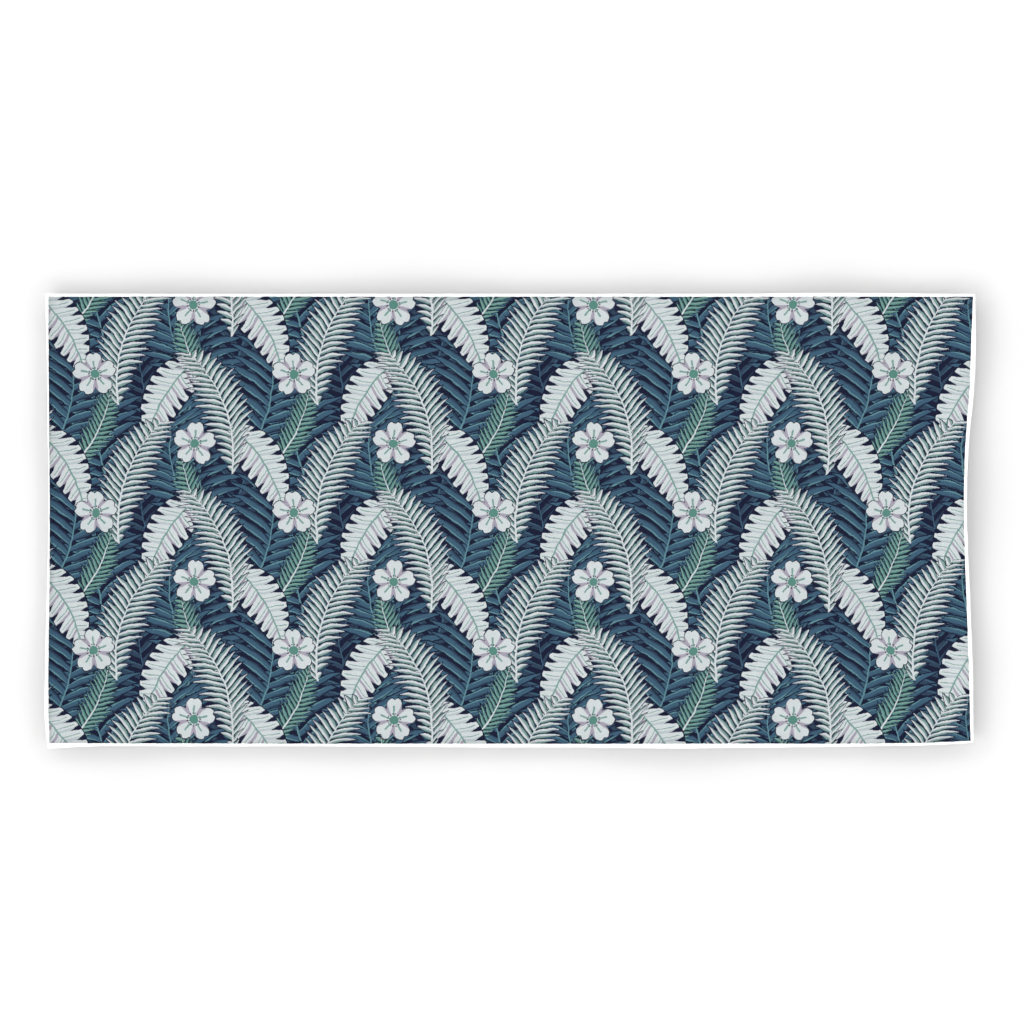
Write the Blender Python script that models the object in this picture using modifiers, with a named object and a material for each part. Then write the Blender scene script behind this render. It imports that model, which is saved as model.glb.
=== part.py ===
"""Beach towel, lying face up and flat: one length of towelling with a turned hem on all four sides.

The cloth is drawn as a flat grid and then laid: each edge is pushed in or out in the plane, and lifts
off the surface in soft swells, while the middle lies flat. Metres, +Z up, +X along the towel's length,
+Y across it. The origin is on the surface, at the middle of the laid towel's outline.
"""

from collections import namedtuple

import bmesh
import bpy
import numpy as np

MM = 0.001

# The finished towel, hem to hem
TOWEL_LENGTH = 1524 * MM
TOWEL_WIDTH = 746 * MM

# The pile cloth, and the hem, where the cloth is turned over and pressed
CLOTH_THICK = 3.0 * MM
HEM_THICK = 4.4 * MM
HEM_STEP = 1.4 * MM
FOLD_ROUNDING = 1.3 * MM
FOLD_SEGMENTS = 2

# How far into the cloth an edge's push is felt, and how far in the edge begins to lift
PUSH_REACH = 420 * MM
LIFT_REACH = 120 * MM

# The spacing of the grid between the hems
GRID_PITCH = 27 * MM

CLOTH_COLOUR = (0.106, 0.165, 0.212, 1.0)
CLOTH_ROUGHNESS = 0.95

# Where an edge swings in and out. along runs from -1 to 1, left to right or bottom to top. out is how
# far the edge stands out from the plain rectangle, and hem is the width of the turned band there.
EdgeRow = namedtuple("EdgeRow", "along out hem")

RIGHT_EDGE = (
    EdgeRow(along=-1.00, out=-2.0 * MM, hem=5.8 * MM),
    EdgeRow(along=-0.75, out=-2.8 * MM, hem=6.9 * MM),
    EdgeRow(along=-0.38, out=-7.1 * MM, hem=6.8 * MM),
    EdgeRow(along=-0.10, out=-11.6 * MM, hem=6.0 * MM),
    EdgeRow(along=0.12, out=-13.2 * MM, hem=5.6 * MM),
    EdgeRow(along=0.38, out=-8.4 * MM, hem=6.7 * MM),
    EdgeRow(along=0.56, out=-1.5 * MM, hem=8.1 * MM),
    EdgeRow(along=0.78, out=1.7 * MM, hem=8.5 * MM),
    EdgeRow(along=1.00, out=0.3 * MM, hem=4.2 * MM),
)
LEFT_EDGE = (
    EdgeRow(along=-1.00, out=-2.8 * MM, hem=4.6 * MM),
    EdgeRow(along=-0.94, out=0.3 * MM, hem=6.5 * MM),
    EdgeRow(along=-0.87, out=2.5 * MM, hem=7.2 * MM),
    EdgeRow(along=-0.70, out=2.1 * MM, hem=6.2 * MM),
    EdgeRow(along=-0.50, out=1.1 * MM, hem=5.8 * MM),
    EdgeRow(along=-0.26, out=-1.3 * MM, hem=4.5 * MM),
    EdgeRow(along=0.00, out=-3.0 * MM, hem=3.2 * MM),
    EdgeRow(along=0.50, out=-1.6 * MM, hem=3.4 * MM),
    EdgeRow(along=0.72, out=-0.4 * MM, hem=4.0 * MM),
    EdgeRow(along=0.92, out=1.1 * MM, hem=5.3 * MM),
    EdgeRow(along=1.00, out=1.6 * MM, hem=6.1 * MM),
)
TOP_EDGE = (
    EdgeRow(along=-1.00, out=-0.3 * MM, hem=5.8 * MM),
    EdgeRow(along=-0.66, out=-0.6 * MM, hem=5.2 * MM),
    EdgeRow(along=-0.20, out=-0.5 * MM, hem=5.5 * MM),
    EdgeRow(along=0.38, out=-0.4 * MM, hem=5.6 * MM),
    EdgeRow(along=0.52, out=-0.3 * MM, hem=5.8 * MM),
    EdgeRow(along=0.68, out=1.0 * MM, hem=6.7 * MM),
    EdgeRow(along=0.84, out=0.2 * MM, hem=6.3 * MM),
    EdgeRow(along=1.00, out=-1.1 * MM, hem=5.2 * MM),
)
BOTTOM_EDGE = (
    EdgeRow(along=-1.00, out=0.5 * MM, hem=9.4 * MM),
    EdgeRow(along=-0.90, out=-2.8 * MM, hem=5.7 * MM),
    EdgeRow(along=-0.74, out=-2.7 * MM, hem=5.6 * MM),
    EdgeRow(along=-0.30, out=-2.4 * MM, hem=5.4 * MM),
    EdgeRow(along=-0.10, out=-1.1 * MM, hem=6.8 * MM),
    EdgeRow(along=0.16, out=-0.9 * MM, hem=6.7 * MM),
    EdgeRow(along=0.33, out=0.6 * MM, hem=8.2 * MM),
    EdgeRow(along=0.50, out=-0.4 * MM, hem=7.7 * MM),
    EdgeRow(along=0.72, out=-2.2 * MM, hem=5.7 * MM),
    EdgeRow(along=0.81, out=-3.5 * MM, hem=5.0 * MM),
    EdgeRow(along=0.90, out=-4.4 * MM, hem=5.1 * MM),
    EdgeRow(along=1.00, out=-8.7 * MM, hem=4.4 * MM),
)

# How high each edge stands off the surface where no swell passes under it
RIGHT_LIFT = 8.0 * MM
LEFT_LIFT = 4.5 * MM
TOP_LIFT = 6.0 * MM
BOTTOM_LIFT = 5.5 * MM

# The swells that run in from an edge. at is where along the edge, from -1 to 1, half_width is along the
# edge, reach is how far the swell runs into the cloth, and height is what it adds at the edge.
Swell = namedtuple("Swell", "at half_width reach height")

RIGHT_SWELLS = (
    Swell(at=0.10, half_width=170 * MM, reach=230 * MM, height=5.5 * MM),
    Swell(at=-0.66, half_width=110 * MM, reach=150 * MM, height=3.0 * MM),
    Swell(at=0.80, half_width=95 * MM, reach=140 * MM, height=4.0 * MM),
)
LEFT_SWELLS = (
    Swell(at=-0.70, half_width=120 * MM, reach=160 * MM, height=3.5 * MM),
    Swell(at=0.42, half_width=150 * MM, reach=180 * MM, height=2.5 * MM),
)
TOP_SWELLS = (
    Swell(at=-0.72, half_width=140 * MM, reach=150 * MM, height=2.5 * MM),
    Swell(at=-0.20, half_width=190 * MM, reach=170 * MM, height=3.5 * MM),
    Swell(at=0.30, half_width=120 * MM, reach=130 * MM, height=2.0 * MM),
    Swell(at=0.69, half_width=130 * MM, reach=170 * MM, height=4.0 * MM),
)
BOTTOM_SWELLS = (
    Swell(at=-0.84, half_width=110 * MM, reach=150 * MM, height=3.5 * MM),
    Swell(at=-0.34, half_width=170 * MM, reach=150 * MM, height=2.0 * MM),
    Swell(at=0.36, half_width=180 * MM, reach=190 * MM, height=4.5 * MM),
    Swell(at=0.86, half_width=120 * MM, reach=160 * MM, height=3.0 * MM),
)


def eased(share):
    """A smooth step from 0 to 1, level at both ends."""
    share = np.clip(share, 0.0, 1.0)
    return share * share * (3 - 2 * share)


def curled(inset, reach):
    """The share of an edge's lift that is left at a distance inside the edge: 1 at it, 0 from reach on."""
    return np.clip(1 - inset / reach, 0.0, 1.0) ** 2


def along_edge(rows, column, along):
    """A column of an edge's table at a place along the edge, as a smooth curve through the table's rows."""
    knots = np.array([row.along for row in rows])
    values = np.array([getattr(row, column) for row in rows])
    slopes = np.gradient(values, knots)
    before = np.clip(np.searchsorted(knots, along, side="right") - 1, 0, len(rows) - 2)
    span = knots[before + 1] - knots[before]
    share = np.clip((along - knots[before]) / span, 0.0, 1.0)
    risen = eased(share)
    leaving = share * (1 - share) ** 2 * span * slopes[before]
    arriving = share**2 * (share - 1) * span * slopes[before + 1]
    return (1 - risen) * values[before] + risen * values[before + 1] + leaving + arriving


def edge_lift(base, swells, along, inset, half_length):
    """How high the cloth stands, by one edge's base lift and by the swells that run in from that edge."""
    height = base * curled(inset, LIFT_REACH)
    for swell in swells:
        across = np.abs(along - swell.at) * half_length / swell.half_width
        height = height + swell.height * eased(1 - across) * curled(inset, swell.reach)
    return height


def laid(x, y):
    """Where the flat cloth's underside at x, y comes to lie, as x, y and z."""
    half_length, half_width = TOWEL_LENGTH / 2, TOWEL_WIDTH / 2
    along_x, along_y = x / half_length, y / half_width
    from_right, from_left = half_length - x, half_length + x
    from_top, from_bottom = half_width - y, half_width + y

    push_x = along_edge(RIGHT_EDGE, "out", along_y) * eased(1 - from_right / PUSH_REACH)
    push_x -= along_edge(LEFT_EDGE, "out", along_y) * eased(1 - from_left / PUSH_REACH)
    push_y = along_edge(TOP_EDGE, "out", along_x) * eased(1 - from_top / PUSH_REACH)
    push_y -= along_edge(BOTTOM_EDGE, "out", along_x) * eased(1 - from_bottom / PUSH_REACH)

    ends = edge_lift(RIGHT_LIFT, RIGHT_SWELLS, along_y, from_right, half_width)
    ends += edge_lift(LEFT_LIFT, LEFT_SWELLS, along_y, from_left, half_width)
    sides = edge_lift(TOP_LIFT, TOP_SWELLS, along_x, from_top, half_length)
    sides += edge_lift(BOTTOM_LIFT, BOTTOM_SWELLS, along_x, from_bottom, half_length)
    return x + push_x, y + push_y, np.hypot(ends, sides)


def stations(extent, low_hem, high_hem):
    """Places across the cloth for the grid's lines: edge, hem, foot of the hem's step, then even spaces."""
    low, high = -extent / 2 + low_hem + HEM_STEP, extent / 2 - high_hem - HEM_STEP
    spaces = round(extent / GRID_PITCH)
    inner = [low + (high - low) * step / spaces for step in range(spaces + 1)]
    edge = np.full_like(low, extent / 2)
    return np.array([-edge, low - HEM_STEP, *inner, high + HEM_STEP, edge])


def flat_grid():
    """The flat cloth's x and y at each of the grid's points, with lines that follow the hems' inner edges."""
    even_x = stations(TOWEL_LENGTH, np.zeros(1), np.zeros(1)).ravel() / (TOWEL_LENGTH / 2)
    even_y = stations(TOWEL_WIDTH, np.zeros(1), np.zeros(1)).ravel() / (TOWEL_WIDTH / 2)
    left, right = (along_edge(edge, "hem", even_y) for edge in (LEFT_EDGE, RIGHT_EDGE))
    bottom, top = (along_edge(edge, "hem", even_x) for edge in (BOTTOM_EDGE, TOP_EDGE))
    return stations(TOWEL_LENGTH, left, right).T, stations(TOWEL_WIDTH, bottom, top)


def clear_scene():
    """Removes whatever the opened file holds."""
    for found in list(bpy.data.objects):
        bpy.data.objects.remove(found, do_unlink=True)


def cloth_material():
    """Printed pile cloth, in the print's ground colour."""
    material = bpy.data.materials.new("printed_towelling")
    material.use_nodes = True
    shader = material.node_tree.nodes["Principled BSDF"]
    shader.inputs["Base Color"].default_value = CLOTH_COLOUR
    shader.inputs["Roughness"].default_value = CLOTH_ROUGHNESS
    shader.inputs["Metallic"].default_value = 0.0
    return material


def build_towel(collection):
    """The towel: a laid grid, thickened upwards, with the hem band standing proud and its fold rounded."""
    x, y = flat_grid()
    rows, columns = x.shape
    sheet = bmesh.new()
    bmesh.ops.create_grid(sheet, x_segments=columns - 1, y_segments=rows - 1, size=1)
    sheet.verts.ensure_lookup_table()
    places = np.stack(laid(x, y), axis=-1).reshape(-1, 3)
    places[:, :2] -= (places[:, :2].min(axis=0) + places[:, :2].max(axis=0)) / 2
    for vertex, place in zip(sheet.verts, places):
        vertex.co = place
    mesh = bpy.data.meshes.new("towel")
    sheet.to_mesh(mesh)
    sheet.free()
    mesh.shade_smooth()

    towel = bpy.data.objects.new("towel", mesh)
    collection.objects.link(towel)
    towel.data.materials.append(cloth_material())

    hem = towel.vertex_groups.new(name="hem")
    index = np.arange(rows * columns).reshape(rows, columns)
    band = np.ones((rows, columns), bool)
    band[2:-2, 2:-2] = False
    hem.add(index[band].tolist(), 1.0, "REPLACE")

    thickness = towel.modifiers.new("thickness", "SOLIDIFY")
    thickness.thickness = HEM_THICK
    thickness.offset = 1.0
    thickness.vertex_group = hem.name
    thickness.thickness_vertex_group = CLOTH_THICK / HEM_THICK
    thickness.use_quality_normals = True

    fold = towel.modifiers.new("fold", "BEVEL")
    fold.width = FOLD_ROUNDING
    fold.segments = FOLD_SEGMENTS
    fold.limit_method = "ANGLE"
    fold.angle_limit = np.radians(60)
    return towel


def main():
    clear_scene()
    collection = bpy.data.collections.new("beach_towel")
    bpy.context.scene.collection.children.link(collection)
    build_towel(collection)


main()
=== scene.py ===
"""Looks of a beach towel that lies flat and face up: printed cut pile, a turned white hem and stitching.

Metres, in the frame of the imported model: +X along the towel's length, +Y across it, +Z up.
"""

import logging
import math
from collections.abc import Sequence
from dataclasses import dataclass
from enum import Enum
from typing import Any

import bpy
import numpy as np
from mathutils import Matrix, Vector


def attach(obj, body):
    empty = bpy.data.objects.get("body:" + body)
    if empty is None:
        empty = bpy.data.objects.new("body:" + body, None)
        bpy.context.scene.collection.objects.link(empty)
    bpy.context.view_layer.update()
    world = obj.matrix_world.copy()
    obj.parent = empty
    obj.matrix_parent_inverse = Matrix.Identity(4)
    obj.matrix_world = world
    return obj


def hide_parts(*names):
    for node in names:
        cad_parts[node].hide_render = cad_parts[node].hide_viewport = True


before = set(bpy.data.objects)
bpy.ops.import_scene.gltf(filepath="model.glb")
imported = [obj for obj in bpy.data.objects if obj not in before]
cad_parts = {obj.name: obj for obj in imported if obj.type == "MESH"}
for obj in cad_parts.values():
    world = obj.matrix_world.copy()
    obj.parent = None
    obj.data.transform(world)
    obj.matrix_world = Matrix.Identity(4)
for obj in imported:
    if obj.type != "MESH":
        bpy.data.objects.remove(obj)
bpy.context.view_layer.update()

log = logging.getLogger("beach_towel")

MM = 0.001
BODY = "root"
CAD_NODE = "towel"

# The finished towel, hem to hem, before its edges swing in or out
TOWEL_LENGTH = 1524 * MM
TOWEL_WIDTH = 746 * MM

# How far the cut pile leans out over the hem's sewn edge
PILE_LEAN = 1.3 * MM

Array = np.ndarray
Colour = tuple[float, float, float, float]


def linear(code: str) -> Colour:
    """Turns an sRGB hex code into a linear colour.

    Args:
        code: six hex digits after a hash mark.

    Returns:
        Linear red, green, blue and an alpha of 1.
    """
    shares = [int(code[start : start + 2], 16) / 255 for start in (1, 3, 5)]
    red, green, blue = (s / 12.92 if s <= 0.04045 else ((s + 0.055) / 1.055) ** 2.4 for s in shares)
    return red, green, blue, 1.0


def eased(share: Array) -> Array:
    """A smooth step from 0 to 1, level at both ends."""
    share = np.clip(share, 0.0, 1.0)
    return share * share * (3 - 2 * share)


# How the towel lies


class Side(Enum):
    """The towel's four edges, as seen from above with its length from left to right."""

    RIGHT = 0
    LEFT = 1
    TOP = 2
    BOTTOM = 3

    @property
    def upright(self) -> bool:
        """Whether the edge is one of the towel's two ends."""
        return self in (Side.RIGHT, Side.LEFT)

    @property
    def extent(self) -> float:
        """How long the edge is."""
        return TOWEL_WIDTH if self.upright else TOWEL_LENGTH


@dataclass(frozen=True)
class Swell:
    """A place where the cloth stands up along an edge, and from which it falls towards the middle.

    at is along the edge, from -1 to 1. The rest is in millimetres: half_width goes along the edge, and
    reach into the cloth.
    """

    at: float
    half_width: float
    reach: float
    height: float


@dataclass(frozen=True)
class Edge:
    """One edge of the towel as it lies, in millimetres.

    At each place along it, from -1 to 1, out is how far it stands out and hem is how wide its hem is.
    """

    along: tuple[float, ...]
    out: tuple[float, ...]
    hem: tuple[float, ...]
    lift: float
    swells: tuple[Swell, ...]

    def curve(self, column: tuple[float, ...], along: Array) -> Array:
        """Reads a column of the edge's table as a smooth curve.

        Args:
            column: the edge's out or hem.
            along: places along the edge, -1 to 1.

        Returns:
            The column's value at each place, in metres.
        """
        knots = np.array(self.along)
        values = np.array(column) * MM
        slopes = np.gradient(values, knots)
        before = np.clip(np.searchsorted(knots, along, side="right") - 1, 0, len(knots) - 2)
        span = knots[before + 1] - knots[before]
        share = np.clip((along - knots[before]) / span, 0.0, 1.0)
        risen = eased(share)
        leaving = share * (1 - share) ** 2 * span * slopes[before]
        arriving = share**2 * (share - 1) * span * slopes[before + 1]
        return (1 - risen) * values[before] + risen * values[before + 1] + leaving + arriving

    def sewn(self, along: Array) -> Array:
        """How far in the hem's sewn edge shows, short of the pile that leans over it."""
        return self.curve(self.hem, along) - PILE_LEAN

    def height(self, along: Array, inset: Array, half_length: float, lift_reach: float) -> Array:
        """How high this edge holds the cloth.

        Args:
            along: places along the edge, -1 to 1.
            inset: how far inside the edge each place is, in metres.
            half_length: half of the edge's length.
            lift_reach: how far in the edge's own lift is felt.

        Returns:
            The height of the cloth's underside over the surface, in metres.
        """
        height = self.lift * MM * np.clip(1 - inset / lift_reach, 0.0, 1.0) ** 2
        for swell in self.swells:
            across = np.abs(along - swell.at) * half_length / (swell.half_width * MM)
            ridge = swell.height * MM * eased(1 - across)
            height = height + ridge * np.clip(1 - inset / (swell.reach * MM), 0.0, 1.0) ** 2
        return height


EDGES = {
    Side.RIGHT: Edge(
        along=(-1.00, -0.75, -0.38, -0.10, 0.12, 0.38, 0.56, 0.78, 1.00),
        out=(-2.0, -2.8, -7.1, -11.6, -13.2, -8.4, -1.5, 1.7, 0.3),
        hem=(5.8, 6.9, 6.8, 6.0, 5.6, 6.7, 8.1, 8.5, 4.2),
        lift=8.0,
        swells=(
            Swell(at=0.10, half_width=170, reach=230, height=5.5),
            Swell(at=-0.66, half_width=110, reach=150, height=3.0),
            Swell(at=0.80, half_width=95, reach=140, height=4.0),
        ),
    ),
    Side.LEFT: Edge(
        along=(-1.00, -0.94, -0.87, -0.70, -0.50, -0.26, 0.00, 0.50, 0.72, 0.92, 1.00),
        out=(-2.8, 0.3, 2.5, 2.1, 1.1, -1.3, -3.0, -1.6, -0.4, 1.1, 1.6),
        hem=(4.6, 6.5, 7.2, 6.2, 5.8, 4.5, 3.2, 3.4, 4.0, 5.3, 6.1),
        lift=4.5,
        swells=(
            Swell(at=-0.70, half_width=120, reach=160, height=3.5),
            Swell(at=0.42, half_width=150, reach=180, height=2.5),
        ),
    ),
    Side.TOP: Edge(
        along=(-1.00, -0.66, -0.20, 0.38, 0.52, 0.68, 0.84, 1.00),
        out=(-0.3, -0.6, -0.5, -0.4, -0.3, 1.0, 0.2, -1.1),
        hem=(5.8, 5.2, 5.5, 5.6, 5.8, 6.7, 6.3, 5.2),
        lift=6.0,
        swells=(
            Swell(at=-0.72, half_width=140, reach=150, height=2.5),
            Swell(at=-0.20, half_width=190, reach=170, height=3.5),
            Swell(at=0.30, half_width=120, reach=130, height=2.0),
            Swell(at=0.69, half_width=130, reach=170, height=4.0),
        ),
    ),
    Side.BOTTOM: Edge(
        along=(-1.00, -0.90, -0.74, -0.30, -0.10, 0.16, 0.33, 0.50, 0.72, 0.81, 0.90, 1.00),
        out=(0.5, -2.8, -2.7, -2.4, -1.1, -0.9, 0.6, -0.4, -2.2, -3.5, -4.4, -8.7),
        hem=(9.4, 5.7, 5.6, 5.4, 6.8, 6.7, 8.2, 7.7, 5.7, 5.0, 5.1, 4.4),
        lift=5.5,
        swells=(
            Swell(at=-0.84, half_width=110, reach=150, height=3.5),
            Swell(at=-0.34, half_width=170, reach=150, height=2.0),
            Swell(at=0.36, half_width=180, reach=190, height=4.5),
            Swell(at=0.86, half_width=120, reach=160, height=3.0),
        ),
    ),
}


@dataclass(frozen=True)
class Lay:
    """How the flat cloth comes to lie: its edges' swings and lifts, its ripples and rounded corners."""

    push_reach: float = 420 * MM
    lift_reach: float = 120 * MM
    corner_radius: float = 2.5 * MM
    ripple_height: float = 0.35 * MM
    centre: tuple[float, float] = (-0.65 * MM, 0.20 * MM)

    def rounded(self, x: Array, y: Array) -> tuple[Array, Array]:
        """Rounds the outline's corners, by drawing square corners in to quarter circles.

        Args:
            x: places along the flat towel.
            y: places across it.

        Returns:
            The moved x and y.
        """
        inset_x = self.corner_radius - (TOWEL_LENGTH / 2 - np.abs(x))
        inset_y = self.corner_radius - (TOWEL_WIDTH / 2 - np.abs(y))
        near = (inset_x > 0) & (inset_y > 0)
        far = np.hypot(inset_x, inset_y)
        drawn = np.where(near, np.maximum(inset_x, inset_y) / np.maximum(far, 1e-9), 1.0)
        moved_x = np.sign(x) * (np.abs(x) - np.where(near, inset_x * (1 - drawn), 0.0))
        moved_y = np.sign(y) * (np.abs(y) - np.where(near, inset_y * (1 - drawn), 0.0))
        return moved_x, moved_y

    def underside(self, x: Array, y: Array) -> Array:
        """Where the flat cloth's underside at x, y comes to lie.

        Args:
            x: places along the flat towel.
            y: places across it.

        Returns:
            Points, with x, y and z along the last axis.
        """
        x, y = self.rounded(x, y)
        half_length, half_width = TOWEL_LENGTH / 2, TOWEL_WIDTH / 2
        inset = {
            Side.RIGHT: half_length - x,
            Side.LEFT: half_length + x,
            Side.TOP: half_width - y,
            Side.BOTTOM: half_width + y,
        }
        out, height = {}, {}
        for side, edge in EDGES.items():
            along = y / half_width if side.upright else x / half_length
            out[side] = edge.curve(edge.out, along) * eased(1 - inset[side] / self.push_reach)
            height[side] = edge.height(along, inset[side], side.extent / 2, self.lift_reach)
        lifted = np.hypot(height[Side.RIGHT] + height[Side.LEFT], height[Side.TOP] + height[Side.BOTTOM])
        laid_x = x + out[Side.RIGHT] - out[Side.LEFT] - self.centre[0]
        laid_y = y + out[Side.TOP] - out[Side.BOTTOM] - self.centre[1]
        return np.stack([laid_x, laid_y, lifted + self.ripple(x, y)], axis=-1)

    def ripple(self, x: Array, y: Array) -> Array:
        """The faint unevenness that cloth keeps when it is smoothed out by hand, never below zero.

        The waves are 150, 110, 60 and 30 mm long, and their numbers are in radians a metre.

        Args:
            x: places along the flat towel.
            y: places across it.

        Returns:
            Heights in metres.
        """
        waves = np.sin(x * 41 + 2.1 * np.sin(y * 17 + 0.4)) + np.sin(y * 57 + 1.7 * np.sin(x * 13 + 1.9))
        waves = waves + 0.6 * np.sin(x * 88 - y * 61 + 0.7) + 0.4 * np.sin(x * 129 + y * 143 + 2.6)
        return self.ripple_height * (1 + waves / 3)

    def place(self, x: Array, y: Array, height: Array) -> Array:
        """Points at a height over the cloth's underside, measured square to the cloth.

        Args:
            x: places along the flat towel.
            y: places across it.
            height: heights over the underside.

        Returns:
            Points, with x, y and z along the last axis.
        """
        step = 1.5 * MM
        here = self.underside(x, y)
        along = self.underside(x + step, y) - self.underside(x - step, y)
        across = self.underside(x, y + step) - self.underside(x, y - step)
        normal = np.cross(along, across)
        normal /= np.linalg.norm(normal, axis=-1, keepdims=True)
        return here + normal * np.asarray(height)[..., None]


def put_up(name: str, data: bpy.types.ID) -> bpy.types.Object:
    """Makes an object and links it to the scene.

    Args:
        name: the object's name.
        data: its mesh, lamp or camera.

    Returns:
        The object.
    """
    thing = bpy.data.objects.new(name, data)
    bpy.context.scene.collection.objects.link(thing)
    return thing


def finished(
    name: str,
    points: Array,
    faces: Array,
    flat: Array,
    materials: Sequence[bpy.types.Material],
    wears: Array,
) -> bpy.types.Object:
    """Makes a smooth-shaded piece at the origin, with the flat cloth as its UV map.

    Args:
        name: the piece's name.
        points: its vertices, in metres.
        faces: its faces, as vertex numbers, counter-clockwise from outside.
        flat: each vertex's x and y on the flat towel, in metres.
        materials: what it is dressed in.
        wears: the number of each face's material.

    Returns:
        The piece, linked to the scene.
    """
    mesh = bpy.data.meshes.new(name)
    mesh.from_pydata(points.tolist(), [], faces.tolist())
    mesh.shade_smooth()
    corners = np.empty(len(mesh.loops), np.int32)
    mesh.loops.foreach_get("vertex_index", corners)
    share = flat / (TOWEL_LENGTH, TOWEL_WIDTH) + 0.5
    mesh.uv_layers.new(name="cloth").data.foreach_set("uv", share[corners].ravel())
    for material in materials:
        mesh.materials.append(material)
    mesh.polygons.foreach_set("material_index", wears)
    return put_up(name, mesh)


# Finishes

MIX = "ShaderNodeMix"
NOISE = "ShaderNodeTexNoise"

# The sums that nodes work out, by Blender's own names for them
Sum = Enum(
    "Sum",
    "ABSOLUTE ADD ARCTAN2 COMPARE DIVIDE FLOOR FLOORED_MODULO FRACT GREATER_THAN LESS_THAN MAXIMUM "
    "MINIMUM MULTIPLY MULTIPLY_ADD POWER SIGN SQRT SUBTRACT",
)
VectorSum = Enum("VectorSum", "MULTIPLY MULTIPLY_ADD SUBTRACT")
SUM_NODES: dict[type[Enum], str] = {Sum: "ShaderNodeMath", VectorSum: "ShaderNodeVectorMath"}

Tree = bpy.types.NodeTree
Source = Any


def add(tree: Tree, kind: str | Enum, *inputs: Source, **settings: Any) -> bpy.types.Node:
    """Adds a node with its settings, and fills or links its inputs.

    Args:
        tree: the node tree.
        kind: the node's type name, or a sum.
        inputs: values, sockets or nodes for its sockets in use, in order, or one dict of them by the
            socket's name or number. A node stands for its first output in use.
        settings: the node's own properties.

    Returns:
        The new node.
    """
    if isinstance(kind, Enum):
        settings["operation"] = kind.name
        kind = SUM_NODES[type(kind)]
    node = tree.nodes.new(kind)
    for name, value in settings.items():
        setattr(node, name, value)
    if inputs and isinstance(inputs[0], dict):
        filled = inputs[0]
    else:
        used = [number for number, socket in enumerate(node.inputs) if socket.enabled]
        filled = dict(zip(used, inputs))
    for key, value in filled.items():
        if isinstance(value, bpy.types.Node):
            value = next(socket for socket in value.outputs if socket.enabled)
        if isinstance(value, bpy.types.NodeSocket):
            tree.links.new(value, node.inputs[key])
        else:
            node.inputs[key].default_value = value
    return node


def new_group(name: str, kind: str, inputs: dict[str, str], outputs: dict[str, str]) -> Tree:
    """Makes an empty node group.

    Args:
        name: the group's name.
        kind: the kind of tree.
        inputs: each input's name and the kind of its socket.
        outputs: the same for its outputs.

    Returns:
        The group's tree.
    """
    tree = bpy.data.node_groups.new(name, kind)
    for in_out, sockets in (("INPUT", inputs), ("OUTPUT", outputs)):
        for socket, holds in sockets.items():
            tree.interface.new_socket(socket, in_out=in_out, socket_type=f"NodeSocket{holds}")
    return tree


@dataclass(frozen=True)
class Inks:
    """The print's few colours, as sRGB hex values seen under the studio light."""

    navy: str = "#1b1f36"
    slate: str = "#324459"
    blue: str = "#3e5d74"
    teal: str = "#5f8a94"
    sage: str = "#789e97"
    deep_sage: str = "#58897f"
    mauve: str = "#a59fae"
    mist: str = "#b9c4c8"
    pale: str = "#d0d7d9"


INKS = Inks()


def nearest(tree: Tree, place: Source, size: float) -> tuple[Source, Source]:
    """Finds which repeat a place is in, along one axis.

    Args:
        tree: the repeat's node group.
        place: the place along the axis.
        size: the repeat's size along it.

    Returns:
        The repeat's number, and how far the place is from its middle.
    """
    number = add(tree, Sum.MULTIPLY_ADD, place, 1 / size, 0.5)
    number = add(tree, Sum.FLOOR, number)
    return number, add(tree, Sum.MULTIPLY_ADD, number, -size, place)


@dataclass(frozen=True)
class Repeat:
    """The half-drop repeat that the print is laid out on, in millimetres of flat cloth."""

    column: float = 164.0
    drop: float = 228.0

    def group(self) -> Tree:
        """Makes the node group that turns a place on the cloth into a place in the nearest repeat.

        Every second column is dropped by half a repeat and mirrored.

        Returns:
            The group, from Place to Local, both in millimetres.
        """
        tree = new_group("half_drop_repeat", "ShaderNodeTree", {"Place": "Vector"}, {"Local": "Vector"})
        given = add(tree, "NodeGroupInput")
        parts = add(tree, "ShaderNodeSeparateXYZ", given)
        column, local_x = nearest(tree, parts.outputs[0], self.column)
        odd = add(tree, Sum.FLOORED_MODULO, column, 2.0)
        dropped = add(tree, Sum.MULTIPLY_ADD, odd, self.drop / 2, parts.outputs[1])
        _, local_y = nearest(tree, dropped, self.drop)
        turned = add(tree, Sum.MULTIPLY_ADD, odd, -2.0, 1.0)
        mirrored = add(tree, Sum.MULTIPLY, local_x, turned)
        local = add(tree, "ShaderNodeCombineXYZ", mirrored, local_y)
        add(tree, "NodeGroupOutput", local)
        return tree


def printed(tree: Tree, ground: Source, ink: Source, *screens: Source) -> bpy.types.Node:
    """Prints an ink over a ground, where every one of the screens is open.

    Args:
        tree: the motif's node group.
        ground: what is printed over: a socket, a node or a hex code.
        ink: what is printed, in the same way.
        screens: 1 where the ink goes through, and otherwise 0.

    Returns:
        The node of the printed colour.
    """
    screen = screens[0]
    for other in screens[1:]:
        screen = add(tree, Sum.MULTIPLY, screen, other)
    pair = [linear(source) if isinstance(source, str) else source for source in (ground, ink)]
    return add(tree, MIX, screen, *pair, data_type="RGBA")


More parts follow.
